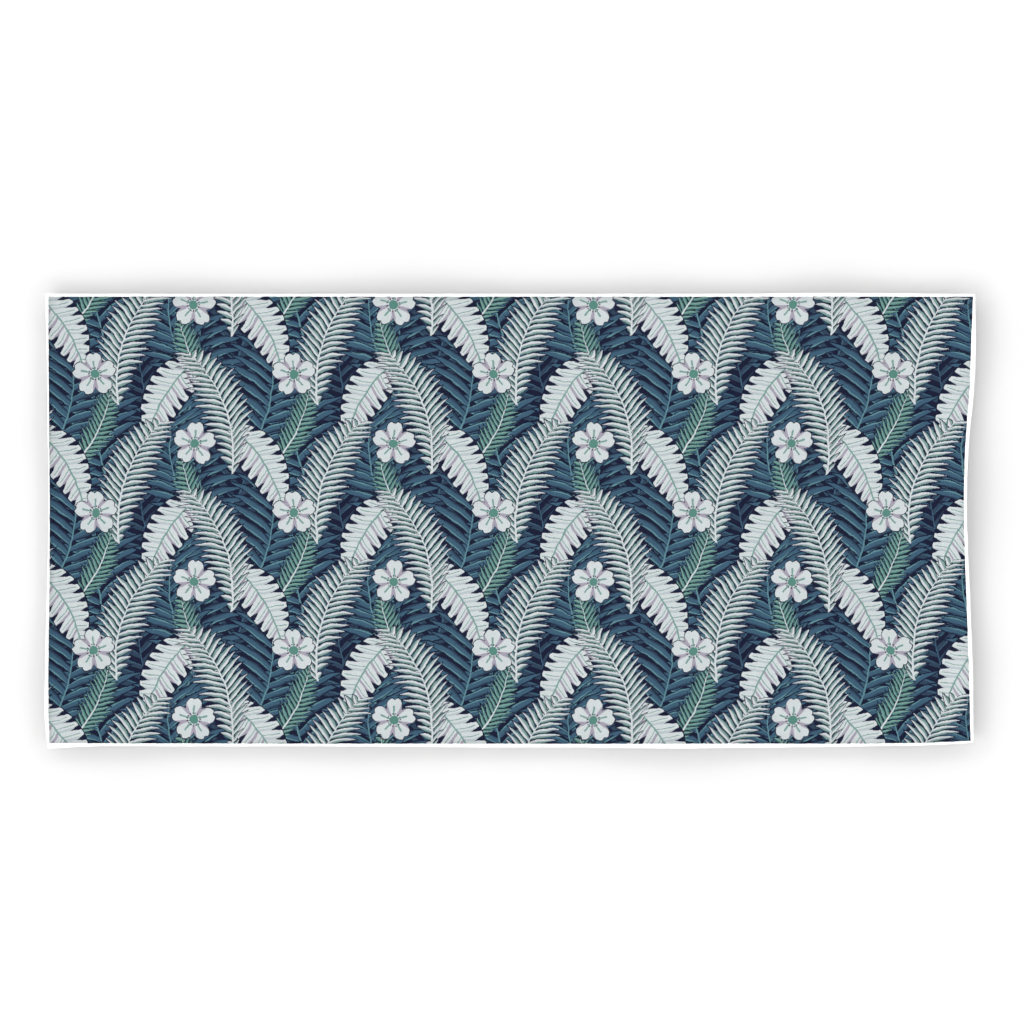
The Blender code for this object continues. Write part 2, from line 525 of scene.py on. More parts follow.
@dataclass(frozen=True)
class Motif:
    """One printed shape of the repeat, in millimetres of flat cloth. Its tilt is in degrees."""

    name: str
    spot: tuple[float, float]
    tilt: float

    def group(self, repeat: Tree) -> Tree:
        """Makes the node group that prints this motif over a ground.

        Args:
            repeat: the group that finds the nearest repeat.

        Returns:
            The group, from Place and Ground to Print.
        """
        inputs = {"Place": "Vector", "Ground": "Color"}
        tree = new_group(self.name, "ShaderNodeTree", inputs, {"Print": "Color"})
        given = add(tree, "NodeGroupInput")
        moved = add(tree, VectorSum.SUBTRACT, given.outputs["Place"], (*self.spot, 0.0))
        local = add(tree, "ShaderNodeGroup", moved, node_tree=repeat)
        turn = {"Vector": local, "Angle": -math.radians(self.tilt)}
        turned = add(tree, "ShaderNodeVectorRotate", turn, rotation_type="Z_AXIS")
        parts = add(tree, "ShaderNodeSeparateXYZ", turned)
        colour = self.draw(tree, parts.outputs[0], parts.outputs[1], given.outputs["Ground"])
        add(tree, "NodeGroupOutput", colour)
        return tree

    def draw(self, tree: Tree, x: Source, y: Source, ground: Source) -> Source:
        """Draws the motif at the origin, along x.

        Args:
            tree: the motif's node group.
            x: the place along the motif.
            y: the place across it.
            ground: the colour beneath.

        Returns:
            The printed colour's node.
        """
        raise NotImplementedError


@dataclass(frozen=True)
class LeafPlace:
    """A place against a leaf, as sockets.

    along is its share of the rib, from foot to tip, and on_rib is 1 between the two. side is 1 or -1,
    and off is how far it is from the rib. number is that of its leaflet, and within runs across the
    leaflet, from -0.5 to 0.5.
    """

    along: Source
    on_rib: Source
    side: Source
    off: Source
    number: Source
    within: Source


@dataclass(frozen=True, kw_only=True)
class Leaf(Motif):
    """A leaf with a bowed rib, and leaflets or lobes that leave it at a slant, a pitch apart."""

    length: float
    bow: float
    pitch: float
    slant: float = 0.75
    stagger: float = 0.0
    least_reach: float = 0.01

    def find(self, tree: Tree, x: Source, y: Source, curl: float) -> LeafPlace:
        """Finds a place against the leaf.

        Args:
            tree: the motif's node group.
            x: the place along the motif.
            y: the place across it.
            curl: how fast the leaflets bend towards the tip, for each millimetre off the rib.

        Returns:
            The place on the leaf.
        """
        along = add(tree, Sum.MULTIPLY_ADD, x, 1 / self.length, 0.5)
        squared = add(tree, Sum.MULTIPLY, x, x)
        bent = add(tree, Sum.MULTIPLY_ADD, squared, -self.bow / self.length, y)
        side = add(tree, Sum.SIGN, bent)
        off = add(tree, Sum.ABSOLUTE, bent)
        # Leaflets leave the rib at a slant and curl, and are counted from its foot
        sweep = add(tree, Sum.MULTIPLY_ADD, off, curl, -self.slant)
        swept = add(tree, Sum.MULTIPLY_ADD, off, sweep, x)
        counted = add(tree, Sum.MULTIPLY_ADD, swept, 1 / self.pitch, self.length / 2 / self.pitch)
        counted = add(tree, Sum.MULTIPLY_ADD, side, self.stagger, counted)
        within = add(tree, Sum.FRACT, counted)
        return LeafPlace(
            along=along,
            on_rib=add(tree, Sum.COMPARE, along, 0.5, 0.5),
            side=side,
            off=off,
            number=add(tree, Sum.FLOOR, counted),
            within=add(tree, Sum.SUBTRACT, within, 0.5),
        )


@dataclass(frozen=True, kw_only=True)
class Frond(Leaf):
    """A feathered leaf, with pointed leaflets on both sides, each part in light and part in shade.

    roundness and peak shape the whole leaf. fill is a leaflet's half width in pitches. At the rib it is
    drawn in to the share neck, which neck_flare opens again.
    """

    leaflet: float
    curl: float = 0.0
    fill: float = 0.45
    neck: float = 0.55
    neck_flare: float = 1.3
    roundness: float = 0.55
    peak: float = 1.95
    uneven: float = 0.28
    side_lots: float = 37.0
    stagger: float = 0.22
    outline: float = 1.3
    rib_thickness: float = 1.6
    rib_tip: float = 0.15
    body: str = INKS.pale
    shade: str = INKS.sage
    shade_from: float = 0.1
    glint: str | None = None
    glint_at: float = -0.28
    glint_half: float = 0.08
    rib: str = INKS.pale

    def reach(self, tree: Tree, place: LeafPlace) -> tuple[Source, Source]:
        """Finds each leaflet's reach: short at the foot and tip of the rib, and a little uneven.

        Args:
            tree: the motif's node group.
            place: the place on the leaf.

        Returns:
            1 where the rib bears a leaflet, and the leaflet's reach.
        """
        step = self.pitch / self.length
        root = add(tree, Sum.MULTIPLY_ADD, place.number, step, step / 2)
        rest = add(tree, Sum.SUBTRACT, 1.0, root)
        bulge = add(tree, Sum.MULTIPLY, root, rest)
        present = add(tree, Sum.GREATER_THAN, bulge, 0.0)
        bulge = add(tree, Sum.MAXIMUM, bulge, 0.0)
        bulge = add(tree, Sum.POWER, bulge, self.roundness)
        # The two sides draw different lots
        key = add(tree, Sum.MULTIPLY_ADD, place.side, self.side_lots, place.number)
        lot = add(tree, "ShaderNodeTexWhiteNoise", {"W": key}, noise_dimensions="1D")
        lot = add(tree, Sum.MULTIPLY_ADD, lot, self.uneven, 1 - self.uneven / 2)
        reach = add(tree, Sum.MULTIPLY, bulge, lot)
        return present, add(tree, Sum.MULTIPLY_ADD, reach, self.leaflet * self.peak, self.least_reach)

    def draw(self, tree: Tree, x: Source, y: Source, ground: Source) -> Source:
        """Draws the frond.

        Args:
            tree: the motif's node group.
            x: the place along the motif.
            y: the place across it.
            ground: the colour beneath.

        Returns:
            The printed colour's node.
        """
        place = self.find(tree, x, y, self.curl / self.leaflet)
        present, reach = self.reach(tree, place)
        out = add(tree, Sum.DIVIDE, place.off, reach)
        # The blade: narrow at the rib, full, and pointed
        taper = add(tree, Sum.MULTIPLY, out, out)
        taper = add(tree, Sum.MULTIPLY_ADD, taper, -self.fill, self.fill)
        neck = add(tree, Sum.MULTIPLY_ADD, out, self.neck_flare, self.neck)
        neck = add(tree, Sum.MINIMUM, neck, 1.0)
        half = add(tree, Sum.MULTIPLY, taper, neck)
        apart = add(tree, Sum.ABSOLUTE, place.within)
        apart = add(tree, Sum.SUBTRACT, apart, half)
        line = add(tree, Sum.LESS_THAN, apart, self.outline / self.pitch)
        colour = printed(tree, ground, INKS.navy, line, present)
        blade = add(tree, Sum.LESS_THAN, apart, 0.0)
        facing = add(tree, Sum.MULTIPLY, place.within, place.side)
        shaded = add(tree, Sum.GREATER_THAN, facing, self.shade_from)
        body = printed(tree, self.body, self.shade, shaded)
        if self.glint:
            lit = add(tree, Sum.COMPARE, facing, self.glint_at, self.glint_half)
            body = printed(tree, body, self.glint, lit)
        colour = printed(tree, colour, body, blade, present)
        foot = (1 + self.rib_tip) * self.rib_thickness
        thin = add(tree, Sum.MULTIPLY_ADD, place.along, -self.rib_thickness, foot)
        rib = add(tree, Sum.LESS_THAN, place.off, thin)
        return printed(tree, colour, self.rib, rib, place.on_rib)


@dataclass(frozen=True, kw_only=True)
class BroadLeaf(Leaf):
    """A broad leaf, cut in from its edge between the side veins."""

    half_width: float
    slant: float = 0.55
    least_reach: float = 0.001
    curl: float = 0.25
    foot_roundness: float = 0.5
    tip_roundness: float = 0.75
    peak: float = 1.75
    cut: float = 0.5
    cut_from: float = 0.42
    lobe_roundness: float = 0.4
    outline: float = 1.5
    shade_from: float = 0.25
    vein: float = 0.7
    vein_end: float = 0.85
    rib: float = 1.3

    def draw(self, tree: Tree, x: Source, y: Source, ground: Source) -> Source:
        """Draws the leaf.

        Args:
            tree: the motif's node group.
            x: the place along the motif.
            y: the place across it.
            ground: the colour beneath.

        Returns:
            The printed colour's node.
        """
        place = self.find(tree, x, y, self.curl / self.half_width)
        clamped = add(tree, Sum.MULTIPLY, place.along, 1.0, use_clamp=True)
        foot = add(tree, Sum.POWER, clamped, self.foot_roundness)
        rest = add(tree, Sum.SUBTRACT, 1.0, clamped)
        tip = add(tree, Sum.POWER, rest, self.tip_roundness)
        reach = add(tree, Sum.MULTIPLY, foot, tip)
        reach = add(tree, Sum.MULTIPLY_ADD, reach, self.half_width * self.peak, self.least_reach)
        out = add(tree, Sum.DIVIDE, place.off, reach)
        outer = add(tree, Sum.ADD, reach, self.outline)
        backed = add(tree, Sum.LESS_THAN, place.off, outer)
        colour = printed(tree, ground, INKS.navy, backed, place.on_rib)
        # The cuts open towards the edge, and each lobe ends in a round
        depth = (out, self.cut_from, 1.0, 0.0, self.cut)
        cut = add(tree, "ShaderNodeMapRange", *depth, interpolation_type="SMOOTHSTEP")
        apart = add(tree, Sum.ABSOLUTE, place.within)
        near = add(tree, Sum.MULTIPLY_ADD, apart, -2.0, 1.0)
        lobe = add(tree, Sum.GREATER_THAN, near, cut)
        end = add(tree, Sum.MULTIPLY, apart, apart)
        end = add(tree, Sum.MULTIPLY_ADD, end, -self.lobe_roundness, 1.0)
        end = add(tree, Sum.LESS_THAN, out, end)
        lower = add(tree, Sum.LESS_THAN, place.side, 0.0)
        shaded = add(tree, Sum.GREATER_THAN, place.within, self.shade_from)
        body = printed(tree, INKS.pale, INKS.mist, shaded)
        body = printed(tree, body, INKS.mauve, shaded, lower)
        vein = add(tree, Sum.LESS_THAN, apart, self.vein / self.pitch)
        inner = add(tree, Sum.LESS_THAN, out, self.vein_end)
        vein = add(tree, Sum.MULTIPLY, vein, inner)
        rib = add(tree, Sum.LESS_THAN, place.off, self.rib)
        vein = add(tree, Sum.MAXIMUM, vein, rib)
        body = printed(tree, body, INKS.sage, vein)
        return printed(tree, colour, body, lobe, end, place.on_rib)


@dataclass(frozen=True, kw_only=True)
class Blossom(Motif):
    """An open blossom of notched petals round a small eye.

    Its radius and outline are in millimetres, and the rest are shares of the radius or of a petal.
    """

    radius: float
    petals: int = 5
    spin: float = 0.2
    outline: float = 1.6
    fullness: float = 2.4
    dip: float = 0.42
    notch: float = 0.1
    notch_slope: float = 4.5
    fold_from: float = 0.72
    streak: float = 0.24
    streak_taper: float = 0.22
    streak_end: float = 0.64
    eye: float = 0.2
    dots: int = 15
    dots_at: float = 0.28
    dot_half: float = 0.035
    dot_turn: float = 0.2

    def draw(self, tree: Tree, x: Source, y: Source, ground: Source) -> Source:
        """Draws the blossom.

        Args:
            tree: the motif's node group.
            x: the place along the motif.
            y: the place across it.
            ground: the colour beneath.

        Returns:
            The printed colour's node.
        """
        square_x = add(tree, Sum.MULTIPLY, x, x)
        far = add(tree, Sum.MULTIPLY_ADD, y, y, square_x)
        far = add(tree, Sum.SQRT, far)
        turn = add(tree, Sum.ARCTAN2, y, x)
        counted = add(tree, Sum.MULTIPLY_ADD, turn, self.petals / math.tau, self.spin)
        within = add(tree, Sum.FRACT, counted)
        within = add(tree, Sum.MULTIPLY_ADD, within, 2.0, -1.0)
        apart = add(tree, Sum.ABSOLUTE, within)
        fall = add(tree, Sum.POWER, apart, self.fullness)
        edge = add(tree, Sum.MULTIPLY_ADD, fall, -self.dip * self.radius, self.radius)
        notch = add(tree, Sum.MULTIPLY_ADD, apart, -self.notch_slope, 1.0, use_clamp=True)
        edge = add(tree, Sum.MULTIPLY_ADD, notch, -self.notch * self.radius, edge)
        outer = add(tree, Sum.ADD, edge, self.outline)
        line = add(tree, Sum.LESS_THAN, far, outer)
        colour = printed(tree, ground, INKS.navy, line)
        petal = add(tree, Sum.LESS_THAN, far, edge)
        fold = add(tree, Sum.GREATER_THAN, apart, self.fold_from)
        body = printed(tree, INKS.pale, INKS.mauve, fold)
        share = add(tree, Sum.MULTIPLY, far, 1 / self.radius)
        width = add(tree, Sum.MULTIPLY_ADD, share, -self.streak_taper, self.streak)
        streak = add(tree, Sum.LESS_THAN, apart, width)
        short = add(tree, Sum.LESS_THAN, share, self.streak_end)
        body = printed(tree, body, INKS.sage, streak, short)
        eye = add(tree, Sum.LESS_THAN, share, self.eye)
        body = printed(tree, body, INKS.deep_sage, eye)
        ring = add(tree, Sum.COMPARE, share, self.dots_at, self.dot_half)
        dots = add(tree, Sum.MULTIPLY, turn, self.dots / math.tau)
        dots = add(tree, Sum.FRACT, dots)
        dots = add(tree, Sum.COMPARE, dots, 0.5, self.dot_turn)
        body = printed(tree, body, INKS.navy, dots, ring)
        return printed(tree, colour, body, petal)


class Depth(Enum):
    """How far back a ground palm lies, by its inks."""

    REAR = {"body": INKS.slate, "shade": INKS.navy, "glint": INKS.blue, "rib": INKS.blue}
    FRONT = {"body": INKS.blue, "shade": INKS.slate, "glint": INKS.teal, "rib": INKS.teal}


@dataclass(frozen=True, kw_only=True)
class GroundPalm(Frond):
    """A wide dark palm leaf of the print's ground, with a lit line along each leaflet."""

    length: float = 226.0
    pitch: float = 19.0
    leaflet: float = 84.0
    curl: float = 0.35
    fill: float = 0.41
    outline: float = 1.8
    shade_from: float = 0.18


# From the ground up, as the screens are printed
MOTIFS: tuple[Motif, ...] = (
    GroundPalm("rear_palm", (0.0, 0.0), 75.0, bow=0.25, leaflet=92.0, **Depth.REAR.value),
    GroundPalm("middle_palm", (82.0, 40.0), 100.0, bow=-0.30, **Depth.FRONT.value),
    GroundPalm("front_palm", (40.0, 120.0), 80.0, bow=0.50, **Depth.FRONT.value),
    Frond(
        "small_fern",
        (80.0, 60.0),
        62.0,
        length=150.0,
        bow=0.35,
        pitch=8.5,
        leaflet=27.0,
        fill=0.40,
        body=INKS.sage,
        shade=INKS.deep_sage,
        shade_from=0.05,
    ),
    BroadLeaf("broad_leaf", (30.0, 10.0), -58.0, length=168.0, half_width=46.0, bow=-0.4, pitch=17.0),
    Frond(
        "pale_palm",
        (128.0, -10.0),
        70.0,
        length=215.0,
        bow=-0.5,
        pitch=10.5,
        leaflet=46.0,
        slant=0.8,
        curl=0.3,
        glint=INKS.mauve,
        glint_at=0.05,
        glint_half=0.05,
    ),
    Blossom("blossom", (78.0, -70.0), 0.0, radius=36.0),
)


@dataclass(frozen=True)
class Finish:
    """A finish of the towel or of the studio. Each one draws its own node tree."""

    name: str
    roughness: float = 0.95
    sheen: float = 0.0
    specular: float = 0.5

    def material(self) -> bpy.types.Material:
        """Makes the material.

        Returns:
            The material, with what is the same all over set on its shader.
        """
        material = bpy.data.materials.new(self.name)
        material.use_nodes = True
        tree = material.node_tree
        tree.nodes.clear()
        inputs = {
            "Roughness": self.roughness,
            "Sheen Weight": self.sheen,
            "Specular IOR Level": self.specular,
            **self.surface(tree),
        }
        shader = add(tree, "ShaderNodeBsdfPrincipled", inputs)
        add(tree, "ShaderNodeOutputMaterial", shader)
        return material

    def surface(self, tree: Tree) -> dict[str, Source]:
        """Draws the colour and the relief.

        Args:
            tree: the material's node tree.

        Returns:
            What feeds the shader, by the names of its inputs.
        """
        raise NotImplementedError


@dataclass(frozen=True)
class PrintedPile(Finish):
    """Sheared cotton pile with a reactive print. Its pattern sizes are in millimetres of flat cloth."""

    # Cut loops give a soft, matt, even surface: no gloss, and nearly one ink to a tuft, so that the
    # print has a fine grain and its edges are a little ragged. Painted shade darkens each tuft from its
    # tip into the gap round it. The three shades turn an ink as seen into what the pile sends back of
    # the strong studio light.
    name: str = "printed_cotton_pile"
    sheen: float = 0.02
    specular: float = 0.02
    tuft: float = 1.2
    tuft_scatter: float = 0.75
    tuft_radius: float = 0.75
    tuft_depth: float = 0.5 * MM
    tuft_ink: float = 0.55
    waver: float = 26.0
    waver_reach: float = 4.8
    # The gap and tip shades: painted shade darkens a tuft's colour from its tip to the gap round it
    painted_gap_shade: float = 0.52
    tip_shade: float = 0.685
    uneven_shade: float = 0.055

    def surface(self, tree: Tree) -> dict[str, Source]:
        """Draws the print and the pile, with painted shade in the gaps between the tufts.

        Args:
            tree: the material's node tree.

        Returns:
            What feeds the shader, by the names of its inputs.
        """
        cloth = add(tree, "ShaderNodeUVMap", uv_map="cloth")
        place = add(tree, VectorSum.MULTIPLY, cloth, (TOWEL_LENGTH / MM, TOWEL_WIDTH / MM, 0.0))
        spread = {"Vector": place, "Scale": 1 / self.tuft, "Randomness": self.tuft_scatter}
        tufts = add(tree, "ShaderNodeTexVoronoi", spread, voronoi_dimensions="2D", feature="F1")
        # A tuft takes its ink mostly at its own middle, and the lines waver softly
        taken = (self.tuft_ink, place, tufts.outputs["Position"])
        taken = add(tree, MIX, *taken, data_type="VECTOR", factor_mode="UNIFORM")
        waver = {"Vector": place, "Scale": 1 / self.waver, "Detail": 2.0}
        waver = add(tree, NOISE, waver, noise_dimensions="2D")
        waver = add(tree, VectorSum.SUBTRACT, waver.outputs["Color"], (0.5, 0.5, 0.5))
        drawn = add(tree, VectorSum.MULTIPLY_ADD, waver, (self.waver_reach,) * 3, taken)
        repeat = Repeat().group()
        colour: Source = linear(INKS.navy)
        for motif in MOTIFS:
            colour = add(tree, "ShaderNodeGroup", drawn, colour, node_tree=motif.group(repeat))
        # Painted shade: each tuft darkens from its tip into the gap round it, and at random
        # some tufts are darker than others
        fall = (tufts, 0.0, self.tuft_radius, 1.0, 0.0)
        tips = add(tree, "ShaderNodeMapRange", *fall, interpolation_type="SMOOTHSTEP")
        shade = add(tree, "ShaderNodeMapRange", tips, 0.0, 1.0, self.painted_gap_shade, self.tip_shade)
        lot = add(tree, "ShaderNodeSeparateXYZ", tufts.outputs["Color"])
        shade = add(tree, Sum.MULTIPLY_ADD, lot, self.uneven_shade, shade)
        grain_and_painted_shade = add(tree, MIX, 1.0, colour, shade, data_type="RGBA", blend_type="MULTIPLY")
        relief = {"Strength": 1.0, "Distance": self.tuft_depth, "Height": tips}
        bump = add(tree, "ShaderNodeBump", relief)
        return {"Base Color": grain_and_painted_shade, "Normal": bump}


@dataclass(frozen=True)
class WhiteTerry(Finish):
    """Bleached cotton terry, as its loops show on the towel's back and on the turned hem."""

    # Bleached white, matt and knobbly, with small soft shadows between the loops. From crown_radius to
    # gap_radius, in shares of the loops' spacing, the surface falls from a loop's crown into the gap.
    colour: str = "#e4e4e3"
    shadow: str = "#c4c4c4"
    sheen: float = 0.05
    specular: float = 0.1
    loop: float = 1.9 * MM
    loop_depth: float = 1.2 * MM
    loop_scatter: float = 0.8
    loop_softness: float = 0.35
    crown_radius: float = 0.1
    gap_radius: float = 0.75

    def surface(self, tree: Tree) -> dict[str, Source]:
        """Draws the loops.

        Args:
            tree: the material's node tree.

        Returns:
            What feeds the shader, by the names of its inputs.
        """
        spread = {
            "Vector": add(tree, "ShaderNodeTexCoord").outputs["Object"],
            "Scale": 1 / self.loop,
            "Smoothness": self.loop_softness,
            "Randomness": self.loop_scatter,
        }
        loops = add(tree, "ShaderNodeTexVoronoi", spread, feature="SMOOTH_F1")
        height = add(tree, "ShaderNodeMapRange", loops, self.crown_radius, self.gap_radius, 1.0, 0.0)
        colour = add(tree, MIX, height, linear(self.shadow), linear(self.colour), data_type="RGBA")
        relief = {"Strength": 1.0, "Distance": self.loop_depth, "Height": height}
        bump = add(tree, "ShaderNodeBump", relief)
        return {"Base Color": colour, "Normal": bump}


# Ironed under the needle: the loops lie lower and closer, and so look cleaner
PRESSED_TERRY = WhiteTerry(
    "pressed_terry_hem", colour="#dcdcdb", shadow="#d0d0d0", loop=1.2 * MM, loop_depth=0.4 * MM
)


@dataclass(frozen=True)
class SewingThread(Finish):
    """Spun white polyester thread."""

    # Smooth and matt with a faint twist, so a stitch looks a little cleaner than the cloth round it.
    name: str = "white_sewing_thread"
    roughness: float = 0.7
    colour: str = "#fbfbfa"
    shadow: str = "#e9e9e8"
    twist: float = 0.5 * MM

    def surface(self, tree: Tree) -> dict[str, Source]:
        """Draws the twist.

        Args:
            tree: the material's node tree.

        Returns:
            What feeds the shader, by the names of its inputs.
        """
        place = add(tree, "ShaderNodeTexCoord").outputs["Object"]
        twist = add(tree, NOISE, {"Vector": place, "Scale": 1 / self.twist, "Detail": 1.0})
        colour = add(tree, MIX, twist, linear(self.shadow), linear(self.colour), data_type="RGBA")
        return {"Base Color": colour}


@dataclass(frozen=True)
class BackdropPaper(Finish):
    """Seamless pale grey studio paper."""

    # Even and quite matt, and lit until it looks white, so that it shows nothing but the towel's shadow.
    name: str = "pale_backdrop_paper"
    roughness: float = 1.0
    specular: float = 0.0
    colour: str = "#c8c8c8"

    def surface(self, tree: Tree) -> dict[str, Source]:
        """Gives the paper's plain colour, by the name of the shader's input."""
        return {"Base Color": linear(self.colour)}


# The towel's pieces


@dataclass
class PileCloth:
    """The length of pile cloth inside the hem: printed on its face, white on its back.

    Its edge is tucked under the hem and pressed down by the seam. first_space is how much of a grid
    space lies beside the tuck.
    """

    lay: Lay
    back: bpy.types.Material
    pitch: float = 7.5 * MM
    first_space: float = 0.35
    thickness: float = 3.0 * MM
    tuck: float = 1.6 * MM
    tuck_rise: float = 0.8 * MM
    pressed: float = 0.7 * MM
    pressed_reach: float = 3.5 * MM

    def stations(self, extent: float, low_hem: Array, high_hem: Array) -> Array:
        """Places of the grid's lines, from one tucked edge to the other.

        Args:
            extent: the towel's length or width.
            low_hem: the hem's width at the low end of each line.
            high_hem: the hem's width at its high end.

        Returns:
            The places, with one row for each grid line.
        """
        low, high = low_hem - extent / 2, extent / 2 - high_hem
        spaces = round(extent / self.pitch)
        shares = np.linspace(0, 1, spaces + 1)
        first = self.first_space / spaces
        shares = np.concatenate([[0.0, first], shares[1:-1], [1 - first, 1.0]])
        inner = low + (high - low) * shares[:, None]
        return np.concatenate([[low - self.tuck], inner, [high + self.tuck]])

    def flat_grid(self) -> tuple[Array, Array]:
        """The grid's points on the flat cloth.

        Returns:
            Their x and y.
        """
        blank = np.zeros(1)
        even_x = self.stations(TOWEL_LENGTH, blank, blank).ravel() / (TOWEL_LENGTH / 2)
        even_y = self.stations(TOWEL_WIDTH, blank, blank).ravel() / (TOWEL_WIDTH / 2)
        left, right = (EDGES[side].sewn(even_y) for side in (Side.LEFT, Side.RIGHT))
        bottom, top = (EDGES[side].sewn(even_x) for side in (Side.BOTTOM, Side.TOP))
        x = self.stations(TOWEL_LENGTH, left, right).T
        y = self.stations(TOWEL_WIDTH, bottom, top)
        return x, y

    def build(self) -> bpy.types.Object:
        """Builds the closed sheet, with the print on its upper faces.

        Returns:
            The piece.
        """
        x, y = self.flat_grid()
        rows, columns = x.shape
        near_x = np.minimum(x - x[:, 1:2], x[:, -2:-1] - x)
        near_y = np.minimum(y - y[1:2], y[-2:-1] - y)
        near = np.minimum(near_x, near_y)
        near[1:-1, 1:-1] = np.maximum(near[1:-1, 1:-1], 0.0)
        pressed = self.pressed * np.exp(-((np.maximum(near, 0.0) / self.pressed_reach) ** 2))
        upper = self.lay.place(x, y, self.thickness - pressed).reshape(-1, 3)
        lower = self.lay.place(x, y, np.where(near < 0, self.tuck_rise, 0.0)).reshape(-1, 3)
        index = np.arange(rows * columns).reshape(rows, columns)
        quads = np.stack([index[:-1, :-1], index[:-1, 1:], index[1:, 1:], index[1:, :-1]], -1)
        quads = quads.reshape(-1, 4)
        ring = np.concatenate([index[0, :-1], index[:-1, -1], index[-1, :0:-1], index[:0:-1, 0]])
        after = np.roll(ring, -1)
        count = rows * columns
        walls = np.stack([ring + count, after + count, after, ring], -1)
        faces = np.concatenate([quads, quads[:, ::-1] + count, walls])
        points = np.concatenate([upper, lower])
        flat = np.tile(np.stack([x.ravel(), y.ravel()], -1), (2, 1))
        wears = np.ones(len(faces), np.int32)
        wears[: len(quads)] = 0
        return finished("towel_cloth", points, faces, flat, (PrintedPile().material(), self.back), wears)


@dataclass(frozen=True)
class HemPoint:
    """A point of the hem's section, in millimetres. share runs from the fold, 0, to the sewn edge, 1."""

    share: float
    inset: float
    height: float


# The section, from under the cloth, round the fold, over the stitched dip and down the sewn edge
HEM_SECTION = (
    HemPoint(0.00, 1.40, 0.00),
    HemPoint(0.00, 0.55, 0.35),
    HemPoint(0.00, 0.12, 1.10),
    HemPoint(0.00, 0.00, 2.10),
    HemPoint(0.00, 0.15, 3.10),
    HemPoint(0.00, 0.62, 3.90),
    HemPoint(0.00, 1.35, 4.35),
    HemPoint(0.30, 0.60, 4.50),
    HemPoint(0.52, 0.30, 4.25),
    HemPoint(0.66, 0.00, 3.85),
    HemPoint(0.78, 0.00, 4.15),
    HemPoint(0.91, 0.00, 4.10),
    HemPoint(1.00, -0.05, 3.55),
    HemPoint(1.00, 0.10, 2.80),
    HemPoint(1.00, -0.10, 1.80),
    HemPoint(1.00, 0.30, 0.12),
    HemPoint(1.00, -0.35, 0.00),
)
STITCH_POINT = 9


